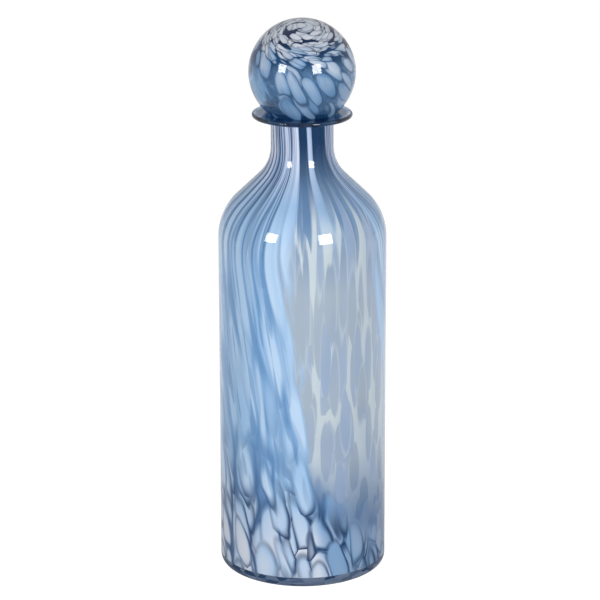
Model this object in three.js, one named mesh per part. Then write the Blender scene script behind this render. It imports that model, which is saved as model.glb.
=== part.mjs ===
// Ball-stopper bottle in cased glass: a shouldered bottle with an applied lip, closed by a hollow
// glass ball that sits in the ground mouth and hangs a tubular stem down the neck.
// Millimetres, +Z up, origin at the centre of the base.
import * as THREE from 'three';

// Bottle, outside shape
const BODY_DIAMETER = 130;
const BODY_HEIGHT = 267.4;
const HEEL_RADIUS = 7;
const SHOULDER_RADIUS = 44.4;
const SHOULDER_SLOPE = THREE.MathUtils.degToRad(46);
const SWEEP_RADIUS = 31.4;
const NECK_DIAMETER = 48.3;
const NECK_LENGTH = 22.8;

// Bottle, glass layers
const CASING_WALL = 2.6;
const CHIP_LAYER_WALL = 1.6;
const BASE_THICKNESS = 8.4;
const POCKET_HEEL_RADIUS = 9;

// Applied lip and its ground seat
const LIP_DIAMETER = 77.2;
const LIP_THICKNESS = 3.5;
const SEAT_REACH = 2.9;

// Stopper
const BALL_DIAMETER = 82;
const BALL_CASING_WALL = 2;
const BALL_CHIP_WALL = 1.2;
const STEM_DIAMETER = 22;
const STEM_TIP_DIAMETER = 20;
const STEM_BORE_DIAMETER = 15.6;
const STEM_LENGTH = 40;

// Clearances: between two layers of glass, and between the ball and its ground seat
const LAYER_GAP = 0.3;
const SEAT_GAP = 0.3;

// Fineness of the round stretches
const TURN_STEPS = 36;
const ARC_STEP = THREE.MathUtils.degToRad(15);

// Radii and heights that follow from the sizes above
const bodyRadius = BODY_DIAMETER / 2;
const neckRadius = NECK_DIAMETER / 2;
const shoulderEnd = new THREE.Vector2(
  bodyRadius - SHOULDER_RADIUS * (1 - Math.cos(SHOULDER_SLOPE)),
  BODY_HEIGHT + SHOULDER_RADIUS * Math.sin(SHOULDER_SLOPE),
);
const sweepStartRadius = neckRadius + SWEEP_RADIUS * (1 - Math.cos(SHOULDER_SLOPE));
const sweepStartHeight = shoulderEnd.y + (shoulderEnd.x - sweepStartRadius) / Math.tan(SHOULDER_SLOPE);
const sweepEndHeight = sweepStartHeight + SWEEP_RADIUS * Math.sin(SHOULDER_SLOPE);
const lipUnderside = sweepEndHeight + NECK_LENGTH;
const lipTop = lipUnderside + LIP_THICKNESS;
const ballRadius = BALL_DIAMETER / 2;
const seatRadius = ballRadius + SEAT_GAP;
const seatMouthRadius = neckRadius + SEAT_REACH;
const ballHeight = lipTop + Math.sqrt(seatRadius ** 2 - seatMouthRadius ** 2);
const stemBoreRadius = STEM_BORE_DIAMETER / 2;
const chipLayerInset = CASING_WALL + LAYER_GAP;

const casingMaterial = new THREE.MeshStandardMaterial({ color: '#8fa9c8', roughness: 0.05, metalness: 0 });
const chipMaterial = new THREE.MeshStandardMaterial({ color: '#a9c3e6', roughness: 0.25, metalness: 0 });
const lipMaterial = new THREE.MeshStandardMaterial({ color: '#8b9db8', roughness: 0.05, metalness: 0 });
const stemMaterial = new THREE.MeshStandardMaterial({ color: '#7f97bd', roughness: 0.05, metalness: 0 });

// Points of an arc in the (radius, height) plane, from one angle to the other, both ends included.
function arcPoints(centreRadius, centreHeight, radius, fromAngle, toAngle) {
  const steps = Math.max(2, Math.ceil(Math.abs(toAngle - fromAngle) / ARC_STEP));
  const points = [];
  for (let step = 0; step <= steps; step += 1) {
    const angle = fromAngle + (toAngle - fromAngle) * step / steps;
    const radial = centreRadius + radius * Math.cos(angle);
    points.push(new THREE.Vector2(radial, centreHeight + radius * Math.sin(angle)));
  }
  return points;
}

// Height of the underside of a sphere round the ball's centre, at a distance from the axis.
function underBall(sphereRadius, radial) {
  return ballHeight - Math.sqrt(sphereRadius ** 2 - radial ** 2);
}

// The bottle's outline at an inset from its outside, from the foot of the wall to the end of the sweep.
function wallOutline(inset, floorHeight, heelRadius) {
  const wallRadius = bodyRadius - inset;
  const sweepCentre = neckRadius + SWEEP_RADIUS;
  return [
    new THREE.Vector2(0, floorHeight),
    ...arcPoints(wallRadius - heelRadius, floorHeight + heelRadius, heelRadius, -Math.PI / 2, 0),
    ...arcPoints(bodyRadius - SHOULDER_RADIUS, BODY_HEIGHT, SHOULDER_RADIUS - inset, 0, SHOULDER_SLOPE),
    ...arcPoints(sweepCentre, sweepEndHeight, SWEEP_RADIUS + inset, Math.PI + SHOULDER_SLOPE, Math.PI),
  ];
}

// The end of the neck between two radii: level under the lip, ground away where the ball's seat reaches it.
function neckEnd(outerRadius, innerRadius) {
  const level = lipUnderside - LAYER_GAP;
  const groundRadius = Math.sqrt(seatRadius ** 2 - (ballHeight - level) ** 2);
  const points = [new THREE.Vector2(outerRadius, Math.min(level, underBall(seatRadius, outerRadius)))];
  if (groundRadius > innerRadius && groundRadius < outerRadius) {
    points.push(new THREE.Vector2(groundRadius, level));
  }
  points.push(new THREE.Vector2(innerRadius, Math.min(level, underBall(seatRadius, innerRadius))));
  return points;
}

// A closed solid of revolution round +Z.
function turned(name, outline, material) {
  const geometry = new THREE.LatheGeometry(outline, TURN_STEPS);
  geometry.rotateX(Math.PI / 2);
  const mesh = new THREE.Mesh(geometry, material);
  mesh.name = name;
  return mesh;
}

// Clear outer gather: thick base, wall, shoulder and neck, open at the mouth.
function bottleCasing() {
  const outside = wallOutline(0, 0, HEEL_RADIUS);
  const inside = wallOutline(CASING_WALL, BASE_THICKNESS, POCKET_HEEL_RADIUS);
  const mouth = neckEnd(neckRadius, neckRadius - CASING_WALL);
  return turned('bottle_casing', [...outside, ...mouth, ...inside.reverse()], casingMaterial);
}

// Inner gather that carries the coloured chips, a cup that follows the casing's inside.
function bottleChipLayer() {
  const outerHeel = POCKET_HEEL_RADIUS - LAYER_GAP;
  const innerHeel = Math.max(POCKET_HEEL_RADIUS - LAYER_GAP - CHIP_LAYER_WALL, LAYER_GAP);
  const innerInset = chipLayerInset + CHIP_LAYER_WALL;
  const outside = wallOutline(chipLayerInset, BASE_THICKNESS + LAYER_GAP, outerHeel);
  const inside = wallOutline(innerInset, BASE_THICKNESS + LAYER_GAP + CHIP_LAYER_WALL, innerHeel);
  const mouth = neckEnd(neckRadius - chipLayerInset, neckRadius - innerInset);
  return turned('bottle_chip_layer', [...outside, ...mouth, ...inside.reverse()], chipMaterial);
}

// Flat disc of plain glass fused round the mouth, with a fire-polished edge and the ground ball seat.
function lipFlange() {
  const edgeRadius = LIP_THICKNESS / 2;
  const edgeCentre = LIP_DIAMETER / 2 - edgeRadius;
  const edge = arcPoints(edgeCentre, lipUnderside + edgeRadius, edgeRadius, -Math.PI / 2, Math.PI / 2);
  const seatTopAngle = Math.asin((lipTop - ballHeight) / seatRadius);
  const seatFootAngle = Math.asin((lipUnderside - ballHeight) / seatRadius);
  const seat = arcPoints(0, ballHeight, seatRadius, seatTopAngle, seatFootAngle);
  const foot = seat[seat.length - 1];
  return turned('lip_flange', [foot, ...edge, ...seat], lipMaterial);
}

// Outline of a sphere round the ball's centre, from the edge of the stem's bore up to the top.
function sphereOutline(radius) {
  const footAngle = -Math.acos(stemBoreRadius / radius);
  const lower = arcPoints(0, ballHeight, radius, footAngle, 0);
  const upper = arcPoints(0, ballHeight, radius, 0, Math.PI / 2);
  return [...lower, ...upper.slice(1)];
}

// A hollow sphere, open below where the stem's bore enters it.
function hollowSphere(name, outerRadius, wall, material) {
  const inside = sphereOutline(outerRadius - wall).reverse();
  return turned(name, [...inside, ...sphereOutline(outerRadius)], material);
}

// Clear outer gather of the ball.
function ballCasing() {
  return hollowSphere('ball_casing', ballRadius, BALL_CASING_WALL, casingMaterial);
}

// Inner gather of the ball, which carries the coloured chips.
function ballChipLayer() {
  const radius = ballRadius - BALL_CASING_WALL - LAYER_GAP;
  return hollowSphere('ball_chip_layer', radius, BALL_CHIP_WALL, chipMaterial);
}

// Tube that hangs from the ball into the neck, its top cut to the ball's round underside.
function stopperStem() {
  const stemRadius = STEM_DIAMETER / 2;
  const tipRadius = STEM_TIP_DIAMETER / 2;
  const joinRadius = ballRadius + LAYER_GAP;
  const stemEnd = ballHeight - ballRadius - STEM_LENGTH;
  const tipRound = (tipRadius - stemBoreRadius) / 2;
  const tip = arcPoints(tipRadius - tipRound, stemEnd + tipRound, tipRound, -Math.PI, 0);
  const boreTop = new THREE.Vector2(stemBoreRadius, underBall(joinRadius, stemBoreRadius));
  const outerTop = new THREE.Vector2(stemRadius, underBall(joinRadius, stemRadius));
  return turned('stopper_stem', [boreTop, ...tip, outerTop, boreTop], stemMaterial);
}

const stopper = new THREE.Group();
stopper.add(ballCasing(), ballChipLayer(), stopperStem());

const bottle = new THREE.Group();
bottle.add(bottleCasing(), bottleChipLayer(), lipFlange(), stopper);

export default bottle;
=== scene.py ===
"""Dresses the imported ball-stopper bottle in cased glass with opal chips drawn out in blue."""
import math

import bpy
from bpy.props import FloatProperty, FloatVectorProperty, IntProperty, PointerProperty
from mathutils import Matrix, Vector


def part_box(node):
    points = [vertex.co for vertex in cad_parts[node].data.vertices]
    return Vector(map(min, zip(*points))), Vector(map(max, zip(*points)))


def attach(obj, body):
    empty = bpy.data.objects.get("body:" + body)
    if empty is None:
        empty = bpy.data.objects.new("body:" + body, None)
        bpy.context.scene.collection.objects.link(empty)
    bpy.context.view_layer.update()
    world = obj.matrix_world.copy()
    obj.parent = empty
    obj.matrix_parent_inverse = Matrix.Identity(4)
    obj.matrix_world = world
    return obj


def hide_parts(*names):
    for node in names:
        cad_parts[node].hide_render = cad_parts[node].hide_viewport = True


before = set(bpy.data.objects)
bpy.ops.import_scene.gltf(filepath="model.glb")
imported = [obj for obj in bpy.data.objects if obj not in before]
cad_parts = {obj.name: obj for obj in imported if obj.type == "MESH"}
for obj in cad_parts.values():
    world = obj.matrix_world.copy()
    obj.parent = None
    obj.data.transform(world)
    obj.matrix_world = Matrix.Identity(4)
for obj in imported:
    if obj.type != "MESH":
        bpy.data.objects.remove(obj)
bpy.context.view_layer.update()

bl_info = {
    "name": "Ball-stopper bottle",
    "version": (1, 0, 0),
    "blender": (4, 5, 0),
    "location": "View3D > Sidebar > Bottle",
    "description": "Cased-glass bottle with drawn opal chips and a hollow ball stopper",
    "category": "Object",
}

MM = 0.001
CASING_LOW, CASING_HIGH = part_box("bottle_casing")
LIP_LOW, LIP_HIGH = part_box("lip_flange")
BALL_LOW, BALL_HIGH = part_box("ball_casing")
STEM_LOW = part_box("stopper_stem")[0]
ARC_STEP = math.radians(3)
MERGE_DISTANCE = 1e-6
# Layers of chips, each with its scale, its share of chips and its place in the pattern.
PETAL_LAYERS = ((0.9, 0.5, (73.9, 37.7, 11.3)),
                (0.95, 1.0, (0.0, 0.0, 0.0)), (1.0, 1.0, (17.3, 5.1, 9.7)),
                (1.05, 0.95, (31.7, 12.9, 23.3)), (1.1, 0.85, (47.1, 29.5, 41.9)),
                (1.15, 0.7, (61.3, 53.7, 58.1)))
# Settings that many nodes share: soft steps from one range to another, mixes of colours with
# their output, scattered cells, and fire-polished soda glass.
SMOOTH = {"interpolation_type": "SMOOTHSTEP"}
RGBA = {"out": 2, "data_type": "RGBA"}
CELLS = {"Scale": 1.0, "Randomness": 0.8}
SODA_GLASS = {"Roughness": 0.0, "IOR": 1.5}
# Millimetres from the base to the mouth, over which the pattern's heights run from 0 to 1.
MOUTH_HEIGHT = 365.0


def hex_colour(code):
    """Turns an sRGB hex value into the linear colour that Blender's nodes take."""
    channels = [int(code[i:i + 2], 16) / 255 for i in (1, 3, 5)]
    return [c / 12.92 if c <= 0.04045 else ((c + 0.055) / 1.055) ** 2.4 for c in channels]


def length(name, description, default):
    """A size in metres that a user may change."""
    return FloatProperty(name=name, description=description, default=default,
                         min=0.0, unit="LENGTH", subtype="DISTANCE", precision=5)


def colour(name, description, code):
    """A colour that a user may change, from its sRGB hex value."""
    return FloatVectorProperty(name=name, description=description, default=hex_colour(code),
                               size=3, min=0.0, max=1.0, subtype="COLOR")


class BottleSizes(bpy.types.PropertyGroup):
    """Sizes of the glass, the same as the solids'."""

    body_diameter: length("Body diameter", "Across the straight body",
                          CASING_HIGH.x - CASING_LOW.x)
    body_height: length("Body height", "From the base to the start of the shoulder", 267.4 * MM)
    heel_radius: length("Heel radius", "Round at the foot of the body", 7 * MM)
    shoulder_radius: length("Shoulder radius", "Round between body and slope", 44.4 * MM)
    shoulder_slope: FloatProperty(name="Shoulder slope", description="Slope from the vertical",
                                  default=math.radians(46), unit="ROTATION", subtype="ANGLE")
    sweep_radius: length("Sweep radius", "Hollow round between slope and neck", 31.4 * MM)
    neck_diameter: length("Neck diameter", "Across the straight neck", 48.3 * MM)
    casing_wall: length("Casing wall", "Thickness of the clear outer gather", 2.6 * MM)
    base_thickness: length("Base thickness", "Clear glass under the chip layer", 8.4 * MM)
    pocket_heel: length("Pocket heel", "Round at the foot of the inside", 9 * MM)
    chip_inset: length("Chip layer inset", "From the outside to the chip layer", 2.9 * MM)
    chip_wall: length("Chip layer wall", "Thickness of the chip layer", 1.6 * MM)
    lip_diameter: length("Lip diameter", "Across the applied lip", LIP_HIGH.x - LIP_LOW.x)
    seat_gap: length("Seat gap", "Between the ball and its ground seat", 0.3 * MM)
    ball_diameter: length("Ball diameter", "Across the stopper's ball", BALL_HIGH.x - BALL_LOW.x)
    ball_wall: length("Ball wall", "Thickness of the ball's clear outer gather", 2 * MM)
    ball_chip_inset: length("Ball chip inset", "From the ball's outside to its chips", 2.3 * MM)
    ball_chip_wall: length("Ball chip wall", "Thickness of the ball's chip layer", 1.2 * MM)
    stem_diameter: length("Stem diameter", "Outside of the stem at the ball", 22 * MM)
    stem_tip: length("Stem tip diameter", "Outside of the stem at its end", 20 * MM)
    stem_bore: length("Stem bore", "Inside of the stem", 15.6 * MM)
    turn_steps: IntProperty(name="Turn steps", description="Faces round the axis",
                            default=144, min=24, max=256)


class ChipSizes(bpy.types.PropertyGroup):
    """Sizes and slants of the drawn chips."""

    width: length("Chip width", "Width of a chip round the body", 16 * MM)
    draw_length: length("Draw length", "Height over which the chips are drawn out", 170 * MM)
    drawn_height: length("Drawn height", "Height of all the chips before they were drawn", 75 * MM)
    twist: FloatProperty(name="Twist", description="Turn of the drawn chips from foot to mouth",
                         default=1.02, unit="ROTATION", subtype="ANGLE")
    neck_pull: FloatProperty(name="Neck pull", description="Turn of the left streaks at the neck",
                             default=-0.4, unit="ROTATION", subtype="ANGLE")
    ball_width: length("Ball chip width", "Width of a chip on the ball", 14 * MM)


class GlassColours(bpy.types.PropertyGroup):
    """Colours of the glass."""

    clear: colour("Clear", "Clear gather, faintly grey-green", "#e6f0f3")
    base: colour("Base", "Thick clear base", "#566f92")
    # Painted reflection colour for the base band.
    base_painted_reflection: colour("Base, light", "Lighter reflections in the base", "#92a3bc")
    cobalt: colour("Cobalt", "Dark blue glass between the neck's stripes", "#1e466f")
    navy: colour("Navy", "Dark lines along the chips' edges", "#1d3f6b")
    foot_glass: colour("Foot glass", "Blue glass between the lowest chips", "#5787c0")
    sky_deep: colour("Sky, deep", "Blue lines along the long streaks", "#4c82b8")
    smoke: colour("Smoke", "Grey blue of the clear glass near the foot", "#6f94bc")
    slate: colour("Slate", "Grey of the thin chips near the foot", "#7193b8")
    ink: colour("Ink", "Nearly black blue of the lines round the ball's top", "#15294a")
    sky: colour("Sky", "Blue glass between the long streaks", "#6fa1d0")
    foot_light: colour("Foot chips, light", "Lavender white of the lowest chips", "#e9edf7")
    foot_deep: colour("Foot chips, deep", "Blue shade of the lowest chips", "#accff2")
    streak_light: colour("Streaks, light", "Pale blue of the long streaks", "#c6e1fb")
    streak_deep: colour("Streaks, deep", "Deeper blue of the long streaks", "#86b8e8")
    neck_light: colour("Neck stripes, light", "Lavender white of the neck's stripes", "#dce5f6")
    neck_deep: colour("Neck stripes, deep", "Blue of the neck's stripes", "#93aed8")
    shoulder: colour("Shoulder", "Steel blue where the shoulder narrows", "#7fa2c6")
    shoulder_light: colour("Shoulder, light", "Paler streaks over the shoulder", "#a9cbef")
    milk: colour("Milk", "Grey of the thin chips in the clear glass", "#c3d0db")
    periwinkle: colour("Periwinkle", "Blue lavender of the thin chips", "#bccfe8")
    ball_glass: colour("Ball glass", "Steel blue of the ball's gather", "#7ea9d0")
    ball_light: colour("Ball chips, light", "Pale blue of the ball's lower chips", "#9ab5d4")
    ball_deep: colour("Ball chips, deep", "Blue of the ball's lower chips", "#6793bf")
    ball_pale: colour("Ball chips, pale", "Lavender white of the chips under the top", "#cddaea")
    cap_light: colour("Cap chips, light", "Grey lavender of the ball's top", "#e0e5ee")
    cap_deep: colour("Cap chips, deep", "Grey blue of the ball's top", "#b8c3d4")
    stem: colour("Stem", "Blue of the stem's tube", "#31598c")
    lip_deep: colour("Lip, deep", "Deeper blue streaks in the lip", "#7b9cc8")
    lip: colour("Lip", "Grey blue of the applied lip", "#b2c5dd")


def arc(centre, radius, start, end):
    """Points of an arc in the (radius, height) plane, both ends included."""
    steps = max(4, math.ceil(abs(end - start) / ARC_STEP))
    angles = [start + (end - start) * step / steps for step in range(steps + 1)]
    return [(centre[0] + radius * math.cos(a), centre[1] + radius * math.sin(a)) for a in angles]


def ball_centre(sizes):
    """Height of the ball's centre."""
    return BALL_HIGH.z - sizes.ball_diameter / 2


def under_ball(sizes, sphere_radius, radial):
    """Height of the underside of a sphere round the ball's centre, at a distance from the axis."""
    return ball_centre(sizes) - math.sqrt(sphere_radius ** 2 - radial ** 2)


def wall_outline(sizes, inset, floor, heel):
    """The bottle's outline at an inset from its outside, from the axis to the end of the sweep."""
    body = sizes.body_diameter / 2
    neck = sizes.neck_diameter / 2
    slope = sizes.shoulder_slope
    shoulder_top = sizes.body_height + sizes.shoulder_radius * math.sin(slope)
    shoulder_in = body - sizes.shoulder_radius * (1 - math.cos(slope))
    sweep_start = neck + sizes.sweep_radius * (1 - math.cos(slope))
    sweep_end = (shoulder_top + (shoulder_in - sweep_start) / math.tan(slope)
                 + sizes.sweep_radius * math.sin(slope))
    foot = arc((body - inset - heel, floor + heel), heel, -math.pi / 2, 0)
    shoulder = arc((body - sizes.shoulder_radius, sizes.body_height),
                   sizes.shoulder_radius - inset, 0, slope)
    sweep = arc((neck + sizes.sweep_radius, sweep_end),
                sizes.sweep_radius + inset, math.pi + slope, math.pi)
    return [(0.0, floor), *foot, *shoulder, *sweep]


def neck_top(sizes, radius):
    """Where the neck's wall ends at a radius: under the lip, or at the ball's ground seat."""
    seat = under_ball(sizes, sizes.ball_diameter / 2 + sizes.seat_gap, radius)
    return (radius, min(LIP_LOW.z - sizes.seat_gap, seat))


def sphere_outline(sizes, radius):
    """Outline of a sphere round the ball's centre, from the stem's bore up to the top."""
    foot = -math.acos(sizes.stem_bore / 2 / radius)
    return arc((0.0, ball_centre(sizes)), radius, foot, math.pi / 2)


def turned(name, outline, steps):
    """Draws an outline point by point and spins it round the bottle's axis into a closed form."""
    if bpy.context.mode != "OBJECT":
        raise RuntimeError("turning a piece starts in object mode")
    bpy.ops.object.select_all(action="DESELECT")
    bpy.ops.mesh.primitive_plane_add(size=MM, location=(0, 0, 0))
    piece = bpy.context.object
    piece.name = name
    piece.data.name = name
    points = [Vector((radius, 0.0, height)) for radius, height in outline]
    bpy.ops.object.mode_set(mode="EDIT")
    bpy.ops.mesh.select_all(action="SELECT")
    bpy.ops.mesh.merge(type="CENTER")
    bpy.ops.transform.translate(value=points[0])
    for last, point in zip(points, points[1:]):
        bpy.ops.mesh.extrude_vertices_move(TRANSFORM_OT_translate={"value": point - last})
    bpy.ops.mesh.select_all(action="SELECT")
    bpy.ops.mesh.spin(steps=steps, angle=2 * math.pi, center=(0, 0, 0), axis=(0, 0, 1))
    bpy.ops.mesh.select_all(action="SELECT")
    bpy.ops.mesh.remove_doubles(threshold=MERGE_DISTANCE)
    bpy.ops.mesh.normals_make_consistent(inside=False)
    bpy.ops.object.mode_set(mode="OBJECT")
    bpy.ops.object.shade_smooth_by_angle(angle=math.radians(35))
    return piece


def finish_inside(piece, slot):
    """Gives the faces that look towards the axis, or up from the floor, another material slot."""
    highest_floor = 20 * MM
    for face in piece.data.polygons:
        inward = face.normal.x * face.center.x + face.normal.y * face.center.y < 0
        floor = face.normal.z > 0.5 and face.center.z < highest_floor
        if inward or floor:
            face.material_index = slot


def rgba(value):
    """An opaque colour from its three channels, or a grey from one number."""
    return (*((value,) * 3 if isinstance(value, float) else value), 1.0)


def add(tree, kind, inputs=(), out=0, stops=(), **settings):
    """Adds a shader node with its settings, ramp stops and inputs, and returns one output."""
    node = tree.nodes.new("ShaderNode" + kind)
    for name, value in settings.items():
        setattr(node, name, value)
    for count, (position, value) in enumerate(stops):
        ramp = node.color_ramp.elements
        stop = ramp[count] if count < 2 else ramp.new(position)
        stop.position = position
        stop.color = rgba(value)
    for key, value in dict(inputs if isinstance(inputs, dict) else enumerate(inputs)).items():
        socket = node.inputs[key]
        if isinstance(value, bpy.types.NodeSocket):
            tree.links.new(value, socket)
        else:
            socket.default_value = rgba(value) if socket.type == "RGBA" else value
    return node.outputs[out] if node.outputs else None


def new_material(name):
    """An empty node material and its tree."""
    material = bpy.data.materials.new(name)
    material.use_nodes = True
    material.node_tree.nodes.clear()
    return material, material.node_tree


def petals(tree, place, crowd, reach, soft_edge, wobble, streaked, layers=PETAL_LAYERS,
           apart=True):
    """Chips melted in one over another: how light they are, how lavender, how bare the glass
    between them is, and the dark rims round them, darkened at the lower right by painted shade.
    Chips that keep apart are drawn in where they would touch the next one of their layer."""
    wander = add(tree, "TexNoise", {"Vector": place, "Scale": 0.9, "Detail": 1.0}, out="Color")
    off_centre = add(tree, "VectorMath", [wander, (0.5, 0.5, 0.5)], operation="SUBTRACT")
    pushed = add(tree, "VectorMath", [off_centre, (wobble, wobble, wobble), place],
                 operation="MULTIPLY_ADD")
    across = add(tree, "VectorMath", [(0.0, 0.0, 1.0), place], operation="CROSS_PRODUCT")
    rightward = add(tree, "VectorMath", [across], operation="NORMALIZE")
    fine_place = add(tree, "VectorMath", [place, (2.8, 2.8, 0.8)], operation="MULTIPLY")
    fine = add(tree, "TexNoise", {"Vector": fine_place, "Scale": 1.0, "Detail": 1.0}, out="Fac")
    uneven = add(tree, "Math", [fine, 0.5], operation="SUBTRACT")
    streaks = add(tree, "Math", [uneven, streaked, 0.4], operation="MULTIPLY_ADD")
    tone, hue, bare, line = streaks, 0.5, 1.0, 0.0
    for size, share, shift in layers:
        moved = add(tree, "VectorMath", [pushed, (size, size, size), shift],
                    operation="MULTIPLY_ADD")
        petal = add(tree, "TexVoronoi", {"Vector": moved, **CELLS})
        chance = add(tree, "SeparateColor", [petal.node.outputs["Color"]]).node.outputs
        heart = petal.node.outputs["Position"]
        away = add(tree, "VectorMath", [moved, heart], operation="SUBTRACT")
        above = add(tree, "SeparateXYZ", [away], out="Z")
        side = add(tree, "VectorMath", [away, rightward], out="Value", operation="DOT_PRODUCT")
        centre = add(tree, "VectorMath",
                     [heart, (1 / size, 1 / size, 1 / size), [-step / size for step in shift]],
                     operation="MULTIPLY_ADD")
        likely = add(tree, "Math", [crowd(centre), share], operation="MULTIPLY")
        there = add(tree, "Math", [chance["Red"], likely], operation="LESS_THAN")
        pointed = add(tree, "Math", [above, 0.28, petal], operation="MULTIPLY_ADD")
        inside = add(tree, "Math", [reach, pointed], operation="SUBTRACT")
        if apart:
            next_heart = add(tree, "TexVoronoi", {"Vector": moved, **CELLS}, feature="F2")
            margin = add(tree, "Math", [next_heart, petal], operation="SUBTRACT")
            inside = add(tree, "Math", [inside, margin, 0.35], operation="SMOOTH_MIN")
        body = add(tree, "MapRange", [inside, 0.0, soft_edge], **SMOOTH)
        tip = add(tree, "MapRange", [above, 0.75, 0.25], **SMOOTH)
        body_tip = add(tree, "Math", [body, tip], operation="MULTIPLY")
        over = add(tree, "Math", [body_tip, there], operation="MULTIPLY")
        # Painted shade: rims and the blue towards the chips' edges weigh more on the lower right.
        low = add(tree, "Math", [above, -0.7], operation="MULTIPLY")
        leading = add(tree, "Math", [side, 0.7, low], operation="MULTIPLY_ADD")
        painted_shadow_side = add(tree, "MapRange", [leading, -0.2, 0.2], **SMOOTH)
        near = add(tree, "MapRange", [inside, -0.12, 0.02], **SMOOTH)
        rim_with_painted_shadow = add(tree, "Math", [painted_shadow_side, 0.4, 0.6], operation="MULTIPLY_ADD")
        rim = add(tree, "Math", [near, rim_with_painted_shadow], operation="MULTIPLY")
        rim_there = add(tree, "Math", [rim, there], operation="MULTIPLY")
        edge = add(tree, "MapRange", [inside, 0.3, 0.0], **SMOOTH)
        shade = add(tree, "Math", [painted_shadow_side, 0.2, 0.4], operation="MULTIPLY_ADD")
        shaded = add(tree, "Math", [edge, shade], operation="MULTIPLY")
        own = add(tree, "Math", [chance["Green"], 0.5, streaks], operation="MULTIPLY_ADD")
        upper = add(tree, "Math", [above, -0.35, own], operation="MULTIPLY_ADD")
        own_tone = add(tree, "Math", [upper, shaded], operation="SUBTRACT")
        left = add(tree, "Math", [1.0, over], operation="SUBTRACT")
        bare = add(tree, "Math", [bare, left], operation="MULTIPLY")
        lines = add(tree, "Math", [line, rim_there], operation="MAXIMUM")
        line = add(tree, "Math", [lines, left], operation="MULTIPLY")
        tone = add(tree, "Mix", {0: over, 2: tone, 3: own_tone})
        hue = add(tree, "Mix", {0: over, 2: hue, 3: chance["Blue"]})
    return tone, hue, bare, line


def from_axis(tree, at):
    """How far a place is from the axis."""
    level = add(tree, "VectorMath", [at, (1.0, 1.0, 0.0)], operation="MULTIPLY")
    return add(tree, "VectorMath", [level], out="Value", operation="LENGTH")


def level_way(tree, at):
    """The level direction of a place from the axis."""
    level = add(tree, "VectorMath", [at, (1.0, 1.0, 0.0)], operation="MULTIPLY")
    return add(tree, "VectorMath", [level], operation="NORMALIZE")


def toward(tree, at, bearing):
    """How directly a place lies at a bearing from the front: 1 right on it, -1 opposite."""
    aim = (math.sin(bearing), -math.cos(bearing), 0.0)
    return add(tree, "VectorMath", [level_way(tree, at), aim], out="Value",
               operation="DOT_PRODUCT")


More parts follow.
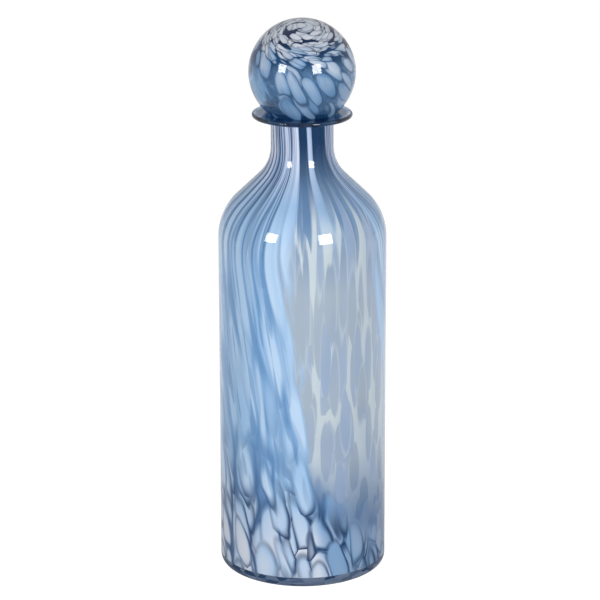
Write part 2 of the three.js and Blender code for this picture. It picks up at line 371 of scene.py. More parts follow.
def bottle_chips(tree, chips, colours):
    """Colour and cover of the bottle's chips: petals at the foot, long streaks, neck stripes."""
    spot = add(tree, "TexCoord", out="Object")
    spot_mm = add(tree, "VectorMath", {0: spot, "Scale": 1 / MM}, operation="SCALE")
    axes = add(tree, "SeparateXYZ", [spot_mm]).node.outputs
    height = axes["Z"]
    front = add(tree, "Math", [axes["Y"], -1.0], operation="MULTIPLY")
    turn = add(tree, "Math", [axes["X"], front], operation="ARCTAN2")
    # The gather is drawn upwards and twisted, so the chips grow longer and narrower towards the
    # neck and lean.
    run = add(tree, "Math", [height, -MM / chips.draw_length], operation="MULTIPLY")
    fall = add(tree, "Math", [run], operation="EXPONENT")
    drawn = add(tree, "Math", [1.0, fall], operation="SUBTRACT")
    lean = add(tree, "Math", [height, chips.twist / MOUTH_HEIGHT, turn], operation="MULTIPLY_ADD")
    # Over the shoulder the streaks this far to the left are pulled round to the neck's front.
    streaks_left = 0.61
    climb = add(tree, "MapRange", [height, 250.0, 350.0], **SMOOTH)
    off = add(tree, "Math", [turn, streaks_left], operation="ADD")
    right = add(tree, "Math", [off, 0.0], operation="GREATER_THAN")
    narrow = add(tree, "Math", [right, 0.5, 0.7], operation="MULTIPLY_ADD")
    reach = add(tree, "Math", [off, narrow], operation="MULTIPLY")
    square = add(tree, "Math", [reach, reach], operation="MULTIPLY")
    minus = add(tree, "Math", [square, -1.0], operation="MULTIPLY")
    bell = add(tree, "Math", [minus], operation="EXPONENT")
    pull = add(tree, "Math", [bell, climb], operation="MULTIPLY")
    around = add(tree, "Math", [pull, chips.neck_pull, lean], operation="MULTIPLY_ADD")
    sine = add(tree, "Math", [around], operation="SINE")
    cosine = add(tree, "Math", [around], operation="COSINE")
    ring = add(tree, "CombineXYZ", [sine, cosine])
    rise = add(tree, "Math", [height, 1 / MOUTH_HEIGHT], operation="MULTIPLY")
    # Radius of the ring and height of the gather, in chips. Thin chips are closer both ways.
    layer_radius = 62 * MM
    girth = 2 * layer_radius / chips.width
    drawn_rows = chips.drawn_height / chips.width
    thin_girth, thin_rows = 0.92 * girth, 1.6
    half_chip = 0.47

    def split_at(draw):
        """How far the chips are split into narrower ones where the gather was drawn out."""
        return add(tree, "ValToRGB", [draw], stops=[
            (0.0, 0.45), (1.0, 0.6), (0.25, 0.46), (0.75, 0.6)])

    # Chips are sparse at the right front: clear glass above the foot, blue glass at the foot.
    sparse_at = math.radians(63)
    # The foot's chips end lowest at this bearing, by a tilt that starts at this nearness to it.
    foot_low_at = math.radians(80)
    tilt_from, foot_tilt = 0.596, 2.7

    def sparse(at, edge, soft):
        """How sparse the chips are round a place in the drawn gather."""
        return add(tree, "MapRange", [toward(tree, at, sparse_at), edge - soft, edge + soft],
                   **SMOOTH)

    def behind(at):
        """How near a place is to the back of the bottle."""
        return add(tree, "MapRange", [toward(tree, at, math.pi), 0.3, 0.7], **SMOOTH)

    def lifted(at, foot, soft):
        """How far a place is above the foot's chips, which end lower at the right."""
        right = add(tree, "Math", [toward(tree, at, foot_low_at), tilt_from], operation="MAXIMUM")
        up = add(tree, "SeparateXYZ", [at], out="Z")
        tilted = add(tree, "Math", [right, foot_tilt, up], operation="MULTIPLY_ADD")
        low = foot * MM / chips.width + foot_tilt * tilt_from
        return add(tree, "MapRange", [tilted, low - soft, low + soft], **SMOOTH)

    drawn_chips = add(tree, "Math", [drawn, drawn_rows], operation="MULTIPLY")
    upward = add(tree, "CombineXYZ", {"Z": drawn_chips})
    mirrored_ring = add(tree, "VectorMath", [ring, (girth, -girth, 0.0)], operation="MULTIPLY")
    level_place = add(tree, "VectorMath", {0: mirrored_ring, "Scale": split_at(drawn)},
                      operation="SCALE")
    place = add(tree, "VectorMath", [level_place, upward], operation="ADD")

    def in_wall(centre, wall):
        """Leaves out chips that only graze the wall, which would show as dots."""
        return add(tree, "Math", [from_axis(tree, centre), wall, half_chip], operation="COMPARE")

    def crowd(centre):
        """How likely a blue chip is at a place in the drawn gather."""
        above = lifted(centre, 32.0, 0.2)
        up = add(tree, "SeparateXYZ", [centre], out="Z")
        under_neck = add(tree, "MapRange", [up, 0.88 * drawn_rows, 0.84 * drawn_rows], **SMOOTH)
        body_only = add(tree, "Math", [above, under_neck], operation="MULTIPLY")
        at_neck = add(tree, "Math", [above, -0.8, -0.1], operation="MULTIPLY_ADD")
        thinned = add(tree, "Math", [body_only, -0.08, at_neck], operation="MULTIPLY_ADD")
        front = add(tree, "Math", [sparse(centre, 0.8, 0.04), thinned, 1.0],
                    operation="MULTIPLY_ADD")
        rear = add(tree, "Math", [behind(centre), body_only], operation="MULTIPLY")
        likely = add(tree, "Math", [rear, -0.9, front], operation="MULTIPLY_ADD")
        draw = add(tree, "Math", [up, 1 / drawn_rows], operation="MULTIPLY")
        wall = add(tree, "Math", [split_at(draw), girth], operation="MULTIPLY")
        return add(tree, "Math", [likely, in_wall(centre, wall)], operation="MULTIPLY")

    def thin_crowd(centre):
        """How likely a thin grey chip is at a place in the clear glass, less near the foot."""
        up = add(tree, "SeparateXYZ", [centre], out="Z")
        likely = add(tree, "MapRange", [up, 3.0, 4.4, 0.55, 1.0])
        return add(tree, "Math", [likely, in_wall(centre, thin_girth)], operation="MULTIPLY")

    soft_edge = add(tree, "ValToRGB", [rise], stops=[
        (0.0, 0.14), (1.0, 0.1), (0.12, 0.16), (0.3, 0.3), (0.7, 0.3), (0.85, 0.12)])
    reach = add(tree, "ValToRGB", [rise], stops=[
        (0.0, 0.58), (1.0, 0.62), (0.16, 0.58), (0.34, 0.6), (0.7, 0.6), (0.85, 0.62)])
    streaked = add(tree, "ValToRGB", [rise], stops=[
        (0.0, 0.2), (1.0, 1.0), (0.15, 0.3), (0.3, 0.8)])
    chip_tone, _, bare, line = petals(tree, place, crowd, reach, soft_edge, wobble=0.5,
                                      streaked=streaked)
    # Where the blue chips are few, thin grey ones lie under them in the clear glass.
    thin_ring = add(tree, "VectorMath", {0: level_way(tree, spot_mm), "Scale": thin_girth},
                    operation="SCALE")
    thin_place = add(tree, "VectorMath", [upward, (0.0, 0.0, thin_rows), thin_ring],
                     operation="MULTIPLY_ADD")
    _, hue, thin_gaps, thin_edge = petals(
        tree, thin_place, thin_crowd, reach=0.54, soft_edge=0.09, wobble=0.4, streaked=0.3,
        layers=PETAL_LAYERS[1:4], apart=False)
    thin_rim = add(tree, "Math", [thin_edge, 0.55], operation="MULTIPLY")
    thin_bare = add(tree, "Math", [thin_gaps, thin_rim], operation="MAXIMUM")

    clear_top = add(tree, "MapRange", [height, 350.0, 290.0], **SMOOTH)
    sparse_here = sparse(place, 0.71, 0.07)
    lifted_here = lifted(place, 28.0, 0.4)
    at_foot = add(tree, "Math", [1.0, lifted_here], operation="SUBTRACT")
    dull = add(tree, "Math", [sparse_here, at_foot], operation="MULTIPLY")
    greyed = add(tree, "Math", [dull, 0.5], operation="MULTIPLY")
    tone = add(tree, "Math", [dull, -0.35, chip_tone], operation="MULTIPLY_ADD")
    clear_side = add(tree, "Math", [sparse_here, lifted_here], operation="MULTIPLY")
    clear = add(tree, "Math", [clear_side, clear_top], operation="MULTIPLY")
    back = add(tree, "Math", [behind(place), clear_top], operation="MULTIPLY")
    pale = add(tree, "Math", [back, clear], operation="MAXIMUM")

    # Dark rims round the chips, strong at the foot and neck, faint between; they carry the
    # painted shade on the chips' lower right.
    line_by_height = add(tree, "ValToRGB", [rise], stops=[
        (0.0, 1.0), (1.0, 1.0), (0.17, 1.0), (0.27, 0.6), (0.45, 0.33),
        (0.68, 0.33), (0.79, 0.5), (0.87, 0.9)])
    patchy = add(tree, "TexNoise", {"Vector": place, "Scale": 0.7, "Detail": 0.0}, out="Fac")
    broken = add(tree, "MapRange", [patchy, 0.35, 0.6, 0.6], **SMOOTH)
    line_worn = add(tree, "Math", [line_by_height, broken], operation="MULTIPLY")
    dark_line = add(tree, "Math", [line, line_worn], operation="MULTIPLY")
    not_pale = add(tree, "Math", [1.0, pale], operation="SUBTRACT")
    rim = add(tree, "Math", [dark_line, not_pale], operation="MULTIPLY")
    # Thin threads of the blue glass show through between the drawn-out chips.
    thread_place = add(tree, "VectorMath", [place, (3.6, 3.6, 0.6)], operation="MULTIPLY")
    thread_noise = add(tree, "TexNoise", {"Vector": thread_place, "Scale": 1.0, "Detail": 1.0},
                       out="Fac")
    thread = add(tree, "MapRange", [thread_noise, 0.53, 0.62], **SMOOTH)
    thread_by_height = add(tree, "ValToRGB", [rise], stops=[
        (0.0, 0.0), (1.0, 1.0), (0.15, 0.0), (0.3, 0.45), (0.7, 0.5), (0.87, 1.0)])
    thread_drawn = add(tree, "Math", [thread, thread_by_height], operation="MULTIPLY")
    thread_here = add(tree, "Math", [thread_drawn, not_pale], operation="MULTIPLY")
    bare_by_height = add(tree, "ValToRGB", [rise], stops=[
        (0.0, 0.8), (1.0, 1.0), (0.2, 0.8), (0.33, 0.55), (0.7, 0.55), (0.85, 1.0)])
    stripes_end = add(tree, "MapRange", [height, 308.0, 268.0], **SMOOTH)
    ended = add(tree, "Math", [stripes_end, sparse(place, 0.86, 0.05)], operation="MULTIPLY")
    open_side = add(tree, "Math", [ended, lifted_here], operation="MULTIPLY")
    bare = add(tree, "Math", [bare, open_side], operation="MAXIMUM")
    blue_bare = add(tree, "Math", [bare, bare_by_height], operation="MULTIPLY")
    bare_here = add(tree, "Mix", {0: pale, 2: blue_bare, 3: bare})
    bare_threads = add(tree, "Math", [bare_here, thread_here], operation="MAXIMUM")

    light = add(tree, "ValToRGB", [rise], stops=[
        (0.0, colours.foot_light), (1.0, colours.neck_light), (0.1, colours.foot_light),
        (0.25, colours.streak_light), (0.74, colours.streak_light),
        (0.83, colours.shoulder_light), (0.92, colours.neck_light)])
    deep = add(tree, "ValToRGB", [rise], stops=[
        (0.0, colours.foot_deep), (1.0, colours.neck_deep), (0.1, colours.foot_deep),
        (0.25, colours.streak_deep), (0.7, colours.streak_deep), (0.82, colours.shoulder),
        (0.92, colours.neck_deep)])
    even_ground = add(tree, "ValToRGB", [rise], stops=[
        (0.0, colours.foot_glass), (1.0, colours.cobalt), (0.12, colours.foot_glass),
        (0.3, colours.sky), (0.72, colours.sky), (0.88, colours.cobalt)])
    ground = add(tree, "Mix", {0: greyed, 6: even_ground, 7: colours.navy}, **RGBA)
    dark = add(tree, "ValToRGB", [rise], stops=[
        (0.0, colours.navy), (1.0, colours.navy), (0.15, colours.navy),
        (0.33, colours.sky_deep), (0.7, colours.sky_deep), (0.85, colours.navy)])
    open_glass = add(tree, "ValToRGB", [rise], stops=[
        (0.0, colours.smoke), (1.0, colours.cobalt), (0.12, colours.smoke), (0.3, colours.clear),
        (0.8, colours.clear), (0.88, colours.shoulder), (0.96, colours.cobalt)])
    bright_chip = add(tree, "Mix", {0: tone, 6: deep, 7: light}, **RGBA, clamp_factor=True)
    blue_chip = add(tree, "Mix", {0: greyed, 6: bright_chip, 7: colours.sky_deep}, **RGBA)
    grey_chip = add(tree, "ValToRGB", [rise], stops=[
        (0.0, colours.slate), (1.0, colours.shoulder), (0.16, colours.slate),
        (0.28, colours.milk), (0.65, colours.milk), (0.8, colours.shoulder)])
    few = add(tree, "Math", [hue, hue], operation="MULTIPLY")
    thin_chip = add(tree, "Mix", {0: few, 6: grey_chip, 7: colours.periwinkle}, **RGBA,
                    clamp_factor=True)
    thin_skin = add(tree, "Mix", {0: thin_bare, 6: thin_chip, 7: open_glass}, **RGBA)
    between = add(tree, "Mix", {0: pale, 6: ground, 7: thin_skin}, **RGBA)
    unrimmed = add(tree, "Mix", {0: bare_threads, 6: blue_chip, 7: between}, **RGBA)
    seen = add(tree, "Mix", {0: rim, 6: unrimmed, 7: dark}, **RGBA)
    glass_cover = add(tree, "MapRange", [rise, 0.75, 0.9, 0.5, 0.6], **SMOOTH)
    gap_cover = add(tree, "Mix", {0: pale, 2: glass_cover, 3: 0.48})
    cover_plain = add(tree, "Mix", {0: bare_threads, 2: 0.92, 3: gap_cover})
    cover_walls = add(tree, "Mix", {0: rim, 2: cover_plain, 3: 0.85})
    # Painted reflections in the thick clear base: cobalt patches for the dark gaps above it
    # mirrored in it, and lighter patches between.
    foot = add(tree, "MapRange", [height, 8.9, 9.5], **SMOOTH)
    squat = add(tree, "VectorMath", [spot_mm, (1 / 9, 1 / 9, 1 / 3.4)], operation="MULTIPLY")
    mirrored = add(tree, "TexVoronoi", {"Vector": squat, **CELLS}, out="Color")
    chance = add(tree, "SeparateColor", [mirrored]).node.outputs
    painted_dark_reflection = add(tree, "Math", [chance["Red"], 0.27], operation="LESS_THAN")
    base = add(tree, "Mix", {0: chance["Green"], 6: colours.base, 7: colours.base_painted_reflection}, **RGBA)
    base_with_painted_reflections = add(tree, "Mix", {0: painted_dark_reflection, 6: base, 7: colours.cobalt}, **RGBA)
    skin = add(tree, "Mix", {0: foot, 6: base_with_painted_reflections, 7: seen}, **RGBA)
    cover = add(tree, "Mix", {0: foot, 2: 0.5, 3: cover_walls})
    return skin, cover


def ball_chips(tree, chips, sizes, colours):
    """Colour and cover of the ball's chips: a swirl round the top, slanting petals below."""
    spot = add(tree, "TexCoord", out="Object")
    centred = add(tree, "VectorMath", [spot, (0.0, 0.0, ball_centre(sizes))], operation="SUBTRACT")
    unit = add(tree, "VectorMath", {0: centred, "Scale": 2 / sizes.ball_diameter},
               operation="SCALE")
    upright = add(tree, "SeparateXYZ", [unit], out="Z")
    # The top was turned on the iron, a little off the axis, which draws its chips out round it.
    tipped_unit = add(tree, "VectorRotate", {"Vector": unit, "Angle": math.radians(-22)},
                      rotation_type="X_AXIS")
    high = add(tree, "SeparateXYZ", [tipped_unit], out="Z")
    past = add(tree, "Math", [high, 0.55], operation="SUBTRACT")
    cap = add(tree, "Math", [past, 0.0], operation="MAXIMUM")
    square = add(tree, "Math", [cap, cap], operation="MULTIPLY")
    latitude = add(tree, "Math", [high], operation="ARCSINE")
    slant = add(tree, "Math", [latitude, 0.42], operation="MULTIPLY")
    swirl = add(tree, "Math", [square, 9.0, slant], operation="MULTIPLY_ADD")
    turned_round = add(tree, "VectorRotate", {"Vector": tipped_unit, "Angle": swirl},
                       rotation_type="Z_AXIS")
    girth = sizes.ball_diameter / 2 / chips.ball_width
    level = add(tree, "VectorMath", [turned_round, (girth, girth, 0.0)], operation="MULTIPLY")
    spread = add(tree, "MapRange", [high, 0.5, 0.8, 1.0, 1.15], **SMOOTH)
    below = add(tree, "Math", [high, 0.0], operation="MINIMUM")
    bent = add(tree, "Math", [below, below], operation="MULTIPLY")
    left = add(tree, "Math", [1.001, bent], operation="SUBTRACT")
    unbent = add(tree, "Math", [left], operation="INVERSE_SQRT")
    even = add(tree, "Math", [spread, unbent], operation="MULTIPLY")
    widened = add(tree, "VectorMath", {0: level, "Scale": even}, operation="SCALE")
    risen = add(tree, "Math", [square, 7.0, slant], operation="MULTIPLY_ADD")
    rise = add(tree, "Math", [risen, girth], operation="MULTIPLY")
    upward = add(tree, "CombineXYZ", {"Z": rise})
    place = add(tree, "VectorMath", [widened, upward], operation="ADD")

    def crowd(centre):
        """Chips crowd the top and stand apart below."""
        up = add(tree, "SeparateXYZ", [centre], out="Z")
        return add(tree, "MapRange", [up, 0.12 * girth, 0.28 * girth, 0.27, 0.66], **SMOOTH)

    ragged = add(tree, "TexNoise", {"Vector": place, "Scale": 0.5, "Detail": 1.0}, out="Fac")
    tipped = add(tree, "Math", [ragged, 0.7, upright], operation="MULTIPLY_ADD")
    top = add(tree, "MapRange", [tipped, 0.78, 0.98], **SMOOTH)
    reach = add(tree, "Math", [top, 0.06, 0.48], operation="MULTIPLY_ADD")
    tone, _, bare, line = petals(tree, place, crowd, reach, soft_edge=0.08, wobble=0.5,
                                 streaked=0.8, layers=PETAL_LAYERS[1:])
    midway = add(tree, "MapRange", [upright, -0.4, 0.3], **SMOOTH)
    low_light = add(tree, "Mix", {0: midway, 6: colours.ball_light, 7: colours.ball_pale}, **RGBA)
    light = add(tree, "Mix", {0: top, 6: low_light, 7: colours.cap_light}, **RGBA)
    deep = add(tree, "Mix", {0: top, 6: colours.ball_deep, 7: colours.cap_deep}, **RGBA)
    blue_chip = add(tree, "Mix", {0: tone, 6: deep, 7: light}, **RGBA, clamp_factor=True)
    # The cap that sits in the mouth is thick dark glass, where the stem was joined on, darkened
    # further by painted reflections of the dark mouth and neck seen through it.
    seat = add(tree, "MapRange", [upright, -0.62, -0.68], **SMOOTH)
    under_cap = add(tree, "MapRange", [upright, 0.05, 0.4], **SMOOTH)
    thick = add(tree, "Math", [under_cap, seat], operation="MAXIMUM")
    seat_glass = add(tree, "Mix", {0: thick, 6: colours.ball_glass, 7: colours.cobalt}, **RGBA)
    glass = add(tree, "Mix", {0: top, 6: seat_glass, 7: colours.ink}, **RGBA)
    between = add(tree, "Mix", {0: bare, 6: blue_chip, 7: glass}, **RGBA)
    # The dark rims carry the chips' painted shade on their lower right.
    rim = add(tree, "Math", [line, 0.85], operation="MULTIPLY")
    rim_dark = add(tree, "Mix", {0: top, 6: colours.cobalt, 7: colours.ink}, **RGBA)
    rimmed = add(tree, "Mix", {0: rim, 6: between, 7: rim_dark}, **RGBA)
    top_cover = add(tree, "Math", [top, 0.55, 0.1], operation="MULTIPLY_ADD")
    bare_cover = add(tree, "Math", [thick, 0.6, top_cover], operation="MULTIPLY_ADD",
                     use_clamp=True)
    chip_cover = add(tree, "Mix", {0: bare, 2: 0.85, 3: bare_cover})
    cover = add(tree, "Mix", {0: rim, 2: chip_cover, 3: 0.8})
    return rimmed, cover


def cased_glass(name, pattern, *given):
    """Blown soda glass with opal chips melted in flush: gloss over milky petals and clear gaps."""
    material, tree = new_material(name)
    skin, cover = pattern(tree, *given)
    open_part = add(tree, "Math", [1.0, cover], operation="SUBTRACT")
    glass = add(tree, "BsdfPrincipled", {"Base Color": skin, **SODA_GLASS,
                                         "Transmission Weight": open_part})
    add(tree, "OutputMaterial", {"Surface": glass})
    return material


def clear_glass(name, tint, streak, clearness, blue=None):
    """Fire-polished soda glass: gloss, what it bends and mirrors, and faint cords of tint. Where a
    blue is given, it is painted into the inner part and in streaks round it: painted reflections
    of the dark neck and ball seen through the glass."""
    material, tree = new_material(name)
    spot = add(tree, "TexCoord", out="Object")
    flow = add(tree, "TexNoise", {"Vector": spot, "Scale": 1 / (14 * MM), "Detail": 1.0},
               out="Fac")
    cords = add(tree, "MapRange", [flow, 0.35, 0.65], **SMOOTH)
    tinted = add(tree, "Mix", {0: cords, 6: tint, 7: streak}, **RGBA)
    # Painted reflections of the dark neck and ball: a blue inner ring and blue streaks round it.
    if blue:
        inner = add(tree, "MapRange", [from_axis(tree, spot), 36.5 * MM, 33 * MM], **SMOOTH)
        tinted = add(tree, "Mix", {0: inner, 6: tinted, 7: blue}, **RGBA)
        painted_neck_streaks = add(tree, "TexNoise",
                       {"Vector": level_way(tree, spot), "Scale": 5.0, "Detail": 2.0}, out="Fac")
        painted_streak_blue = add(tree, "MapRange", [painted_neck_streaks, 0.48, 0.58, 0.0, 0.75], **SMOOTH)
        tinted = add(tree, "Mix", {0: painted_streak_blue, 6: tinted, 7: blue}, **RGBA)
    glass = add(tree, "BsdfPrincipled", {"Base Color": tinted, **SODA_GLASS,
                                         "Transmission Weight": clearness})
    add(tree, "OutputMaterial", {"Surface": glass})
    return material


def opal_chips(name, pattern, *given):
    """Opal chips seen from behind through the glass: matt, milky, letting some light through."""
    material, tree = new_material(name)
    skin, cover = pattern(tree, *given)
    lit = add(tree, "BsdfDiffuse", {"Color": skin})
    through = add(tree, "BsdfTranslucent", {"Color": skin})
    milk = add(tree, "MixShader", [0.4, lit, through])
    nothing = add(tree, "BsdfTransparent")
    veil = add(tree, "Math", [cover, 0.6], operation="MULTIPLY")
    mixed = add(tree, "MixShader", [veil, nothing, milk])
    add(tree, "OutputMaterial", {"Surface": mixed})
    return material


def lets_lamps_through(piece):
    """Glass here casts no shadow of its own; the chips under it do."""
    piece.visible_shadow = False
    piece.visible_diffuse = False


class BOTTLE_OT_casing(bpy.types.Operator):
    """Blows the bottle's clear casing with the chips melted into its outside"""

    bl_idname = "bottle.casing"
    bl_label = "Bottle casing"

    def execute(self, context):
        sizes = context.scene.bottle_sizes
        colours = context.scene.bottle_colours
        neck = sizes.neck_diameter / 2
        outside = wall_outline(sizes, 0.0, 0.0, sizes.heel_radius)
        inside = wall_outline(sizes, sizes.casing_wall, sizes.base_thickness, sizes.pocket_heel)
        mouth = [neck_top(sizes, neck), neck_top(sizes, neck - sizes.casing_wall)]
        piece = turned("bottle_glass", [*outside, *mouth, *reversed(inside)], sizes.turn_steps)
        chips = context.scene.bottle_chips
        piece.data.materials.append(
            cased_glass("cased soda glass, drawn opal chips", bottle_chips, chips, colours))
        piece.data.materials.append(clear_glass("clear soda glass, blown", 1.0, 0.94, 1.0))
        finish_inside(piece, 1)
        lets_lamps_through(piece)
        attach(piece, "bottle")
        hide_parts("bottle_casing")
        return {"FINISHED"}


class BOTTLE_OT_chip_layer(bpy.types.Operator):
    """Blows the inner gather that carries the chips"""

    bl_idname = "bottle.chip_layer"
    bl_label = "Bottle chip layer"

    def execute(self, context):
        sizes = context.scene.bottle_sizes
        neck = sizes.neck_diameter / 2 - sizes.chip_inset
        heel = sizes.pocket_heel - sizes.seat_gap
        floor = sizes.base_thickness + sizes.seat_gap
        outside = wall_outline(sizes, sizes.chip_inset, floor, heel)
        inside = wall_outline(sizes, sizes.chip_inset + sizes.chip_wall, floor + sizes.chip_wall,
                              heel - sizes.chip_wall)
        mouth = [neck_top(sizes, neck), neck_top(sizes, neck - sizes.chip_wall)]
        piece = turned("bottle_opal_layer", [*outside, *mouth, *reversed(inside)],
                       sizes.turn_steps)
        piece.data.materials.append(
            opal_chips("opal glass chips, drawn", bottle_chips, context.scene.bottle_chips,
                       context.scene.bottle_colours))
        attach(piece, "bottle")
        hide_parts("bottle_chip_layer")
        return {"FINISHED"}


class BOTTLE_OT_lip(bpy.types.Operator):
    """Lays on the flat disc of the lip with its ground seat"""

    bl_idname = "bottle.lip"
    bl_label = "Applied lip"

    def execute(self, context):
        sizes = context.scene.bottle_sizes
        round_edge = (LIP_HIGH.z - LIP_LOW.z) / 2
        edge = arc((sizes.lip_diameter / 2 - round_edge, LIP_LOW.z + round_edge), round_edge,
                   -math.pi / 2, math.pi / 2)
        seat_radius = sizes.ball_diameter / 2 + sizes.seat_gap
        centre = ball_centre(sizes)
        seat = arc((0.0, centre), seat_radius, math.asin((LIP_HIGH.z - centre) / seat_radius),
                   math.asin((LIP_LOW.z - centre) / seat_radius))
        piece = turned("lip_disc", [seat[-1], *edge, *seat], sizes.turn_steps)
        colours = context.scene.bottle_colours
        # The cobalt painted into the lip stands for the dark neck and ball seen through it.
        piece.data.materials.append(
            clear_glass("clear soda glass, fire-polished", colours.lip, colours.lip_deep, 0.95,
                        colours.cobalt))
        lets_lamps_through(piece)
        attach(piece, "bottle")
        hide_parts("lip_flange")
        return {"FINISHED"}


class BOTTLE_OT_ball(bpy.types.Operator):
    """Blows the stopper's hollow ball and the chip layer inside it"""

    bl_idname = "bottle.ball"
    bl_label = "Stopper ball"

    def execute(self, context):
        sizes = context.scene.bottle_sizes
        chips = context.scene.bottle_chips
        colours = context.scene.bottle_colours
        radius = sizes.ball_diameter / 2
        outside = sphere_outline(sizes, radius)
        inside = sphere_outline(sizes, radius - sizes.ball_wall)
        piece = turned("ball_glass", [*outside, *reversed(inside), outside[0]], sizes.turn_steps)
        piece.data.materials.append(
            cased_glass("cased blue glass, swirled opal chips", ball_chips, chips, sizes,
                        colours))
        piece.data.materials.append(clear_glass("clear soda glass, blown ball", 1.0, 0.94, 1.0))
        centre = Vector((0.0, 0.0, ball_centre(sizes)))
        for face in piece.data.polygons:
            if face.normal.dot(face.center - centre) < 0:
                face.material_index = 1
        lets_lamps_through(piece)
        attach(piece, "stopper_ball")
        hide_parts("ball_casing")
        layer = radius - sizes.ball_chip_inset
        outside = sphere_outline(sizes, layer)
        inside = sphere_outline(sizes, layer - sizes.ball_chip_wall)
        lining = turned("ball_opal_layer", [*outside, *reversed(inside), outside[0]],
                        sizes.turn_steps)
        lining.data.materials.append(
            opal_chips("opal glass chips, swirled", ball_chips, chips, sizes, colours))
        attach(lining, "stopper_ball")
        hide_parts("ball_chip_layer")
        return {"FINISHED"}


class BOTTLE_OT_stem(bpy.types.Operator):
    """Draws the tube that hangs from the ball into the neck"""

    bl_idname = "bottle.stem"
    bl_label = "Stopper stem"

    def execute(self, context):
        sizes = context.scene.bottle_sizes
        bore = sizes.stem_bore / 2
        tip = sizes.stem_tip / 2
        tip_round = (tip - bore) / 2
        join = sizes.ball_diameter / 2 + sizes.seat_gap
        end = arc((tip - tip_round, STEM_LOW.z + tip_round), tip_round, -math.pi, 0.0)
        bore_top = (bore, under_ball(sizes, join, bore))
        outer_top = (sizes.stem_diameter / 2, under_ball(sizes, join, sizes.stem_diameter / 2))
        piece = turned("stem_tube", [bore_top, *end, outer_top, bore_top], sizes.turn_steps)
        colours = context.scene.bottle_colours
        piece.data.materials.append(
            clear_glass("blue soda glass, drawn tube", colours.stem, colours.cobalt, 0.9))
        lets_lamps_through(piece)
        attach(piece, "stopper")
        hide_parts("stopper_stem")
        return {"FINISHED"}


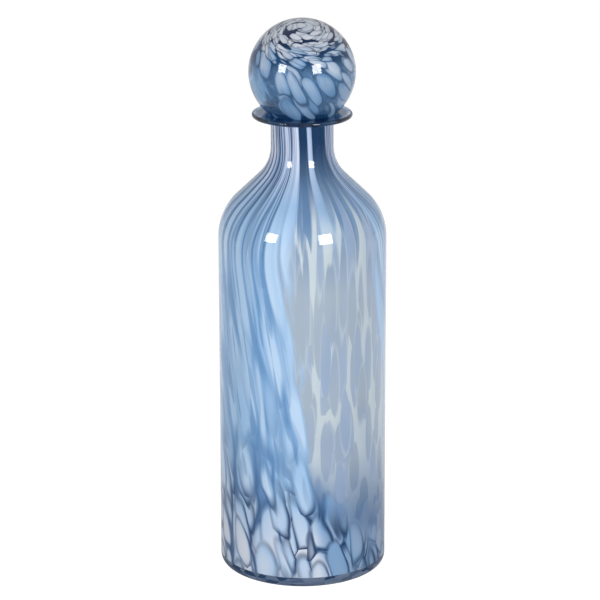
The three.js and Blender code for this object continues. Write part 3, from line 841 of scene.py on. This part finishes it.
class BOTTLE_OT_stage(bpy.types.Operator):
    """Sets the pale floor, two soft boxes, the dim room and the camera"""

    bl_idname = "bottle.stage"
    bl_label = "Stage"

    def execute(self, context):
        scene = context.scene
        scene.view_settings.view_transform = "Standard"
        bpy.ops.object.select_all(action="DESELECT")
        floor_size, floor_drop = 8.0, 0.4 * MM
        bpy.ops.mesh.primitive_plane_add(size=floor_size, location=(0, 0, -floor_drop))
        floor = context.object
        floor.name = "floor"
        material, tree = new_material("white paper sweep")
        path = add(tree, "LightPath").node.outputs
        paper = add(tree, "BsdfDiffuse", {"Color": hex_colour("#b4b4b4")})
        glow = add(tree, "Emission", {"Color": 1.0, "Strength": 0.82})
        white = add(tree, "AddShader", [paper, glow])
        spot = add(tree, "TexCoord", out="Object")
        deep = add(tree, "SeparateXYZ", [spot], out="Y")
        sweep = add(tree, "MapRange", [deep, -0.2, 0.4, 0.2, 0.9], **SMOOTH)
        mirrored = add(tree, "Emission", {"Color": 1.0, "Strength": sweep})
        plain = add(tree, "Emission", {"Color": 1.0, "Strength": 1.0})
        in_gloss = add(tree, "MixShader", [path["Is Glossy Ray"], paper, mirrored])
        in_glass = add(tree, "MixShader", [path["Is Transmission Ray"], in_gloss, plain])
        mixed = add(tree, "MixShader", [path["Is Camera Ray"], in_glass, white])
        add(tree, "OutputMaterial", {"Surface": mixed})
        floor.data.materials.append(material)

        world = bpy.data.worlds.new("dim studio")
        world.use_nodes = True
        tree = world.node_tree
        tree.nodes.clear()
        path = add(tree, "LightPath").node.outputs
        shown = add(tree, "Math", [path["Is Camera Ray"], path["Is Transmission Ray"]],
                    operation="MAXIMUM")
        aim = add(tree, "TexCoord", out="Generated")
        deep = add(tree, "SeparateXYZ", [aim], out="Y")
        room = add(tree, "MapRange", [deep, -0.3, 0.6, 0.2, 0.8], **SMOOTH)
        strength = add(tree, "Mix", {0: shown, 2: room, 3: 1.0})
        light = add(tree, "Background", {"Strength": strength})
        add(tree, "OutputWorld", {"Surface": light})
        scene.world = world

        lamp_reach, lamp_height, aim_height = 1.9, 0.92, 0.25
        for name, azimuth, width, power in (("soft_box_left", -44.5, 0.56, 18.0),
                                            ("soft_box_right", 32.5, 0.64, 24.0)):
            turn = math.radians(azimuth)
            lamp = bpy.data.lights.new(name, "AREA")
            lamp.shape = "SQUARE"
            lamp.size = width
            lamp.energy = power
            box = bpy.data.objects.new(name, lamp)
            box.location = (lamp_reach * math.sin(turn), -lamp_reach * math.cos(turn), lamp_height)
            aim = Vector((0.0, 0.0, aim_height)) - box.location
            box.rotation_euler = aim.to_track_quat("-Z", "Y").to_euler()
            box.visible_camera = False
            scene.collection.objects.link(box)

        camera = bpy.data.cameras.new("camera")
        camera.lens = 177.67
        camera.sensor_width = 36.0
        eye = bpy.data.objects.new("camera", camera)
        eye.location = (-0.0019, -2.2, 0.88988)
        looks_down, leans = math.radians(17.05), math.radians(-0.11)
        tilt = Matrix.Rotation(math.pi / 2 - looks_down, 3, "X")
        roll = Matrix.Rotation(leans, 3, "Z")
        eye.rotation_euler = (tilt @ roll).to_euler()
        scene.collection.objects.link(eye)
        scene.camera = eye
        return {"FINISHED"}


class BOTTLE_PT_sidebar(bpy.types.Panel):
    """Lists the sizes, the colours and the steps that build the bottle"""

    bl_idname = "BOTTLE_PT_sidebar"
    bl_label = "Ball-stopper bottle"
    bl_space_type = "VIEW_3D"
    bl_region_type = "UI"
    bl_category = "Bottle"

    def draw(self, context):
        for group in (context.scene.bottle_sizes, context.scene.bottle_chips,
                      context.scene.bottle_colours):
            column = self.layout.column(align=True)
            for name in group.__annotations__:
                column.prop(group, name)
        for step in STEPS:
            self.layout.operator(step.bl_idname)


STEPS = (BOTTLE_OT_casing, BOTTLE_OT_chip_layer, BOTTLE_OT_lip, BOTTLE_OT_ball, BOTTLE_OT_stem,
         BOTTLE_OT_stage)
CLASSES = (BottleSizes, ChipSizes, GlassColours, *STEPS, BOTTLE_PT_sidebar)


def register():
    """Registers the classes and hangs the settings on the scene."""
    for cls in CLASSES:
        bpy.utils.register_class(cls)
    bpy.types.Scene.bottle_sizes = PointerProperty(type=BottleSizes)
    bpy.types.Scene.bottle_chips = PointerProperty(type=ChipSizes)
    bpy.types.Scene.bottle_colours = PointerProperty(type=GlassColours)


def unregister():
    """Takes the settings and the classes away again."""
    del bpy.types.Scene.bottle_colours
    del bpy.types.Scene.bottle_chips
    del bpy.types.Scene.bottle_sizes
    for cls in reversed(CLASSES):
        bpy.utils.unregister_class(cls)


def main():
    """Builds every piece and the stage."""
    register()
    bpy.ops.bottle.casing()
    bpy.ops.bottle.chip_layer()
    bpy.ops.bottle.lip()
    bpy.ops.bottle.ball()
    bpy.ops.bottle.stem()
    bpy.ops.bottle.stage()


if __name__ == "__main__":
    main()
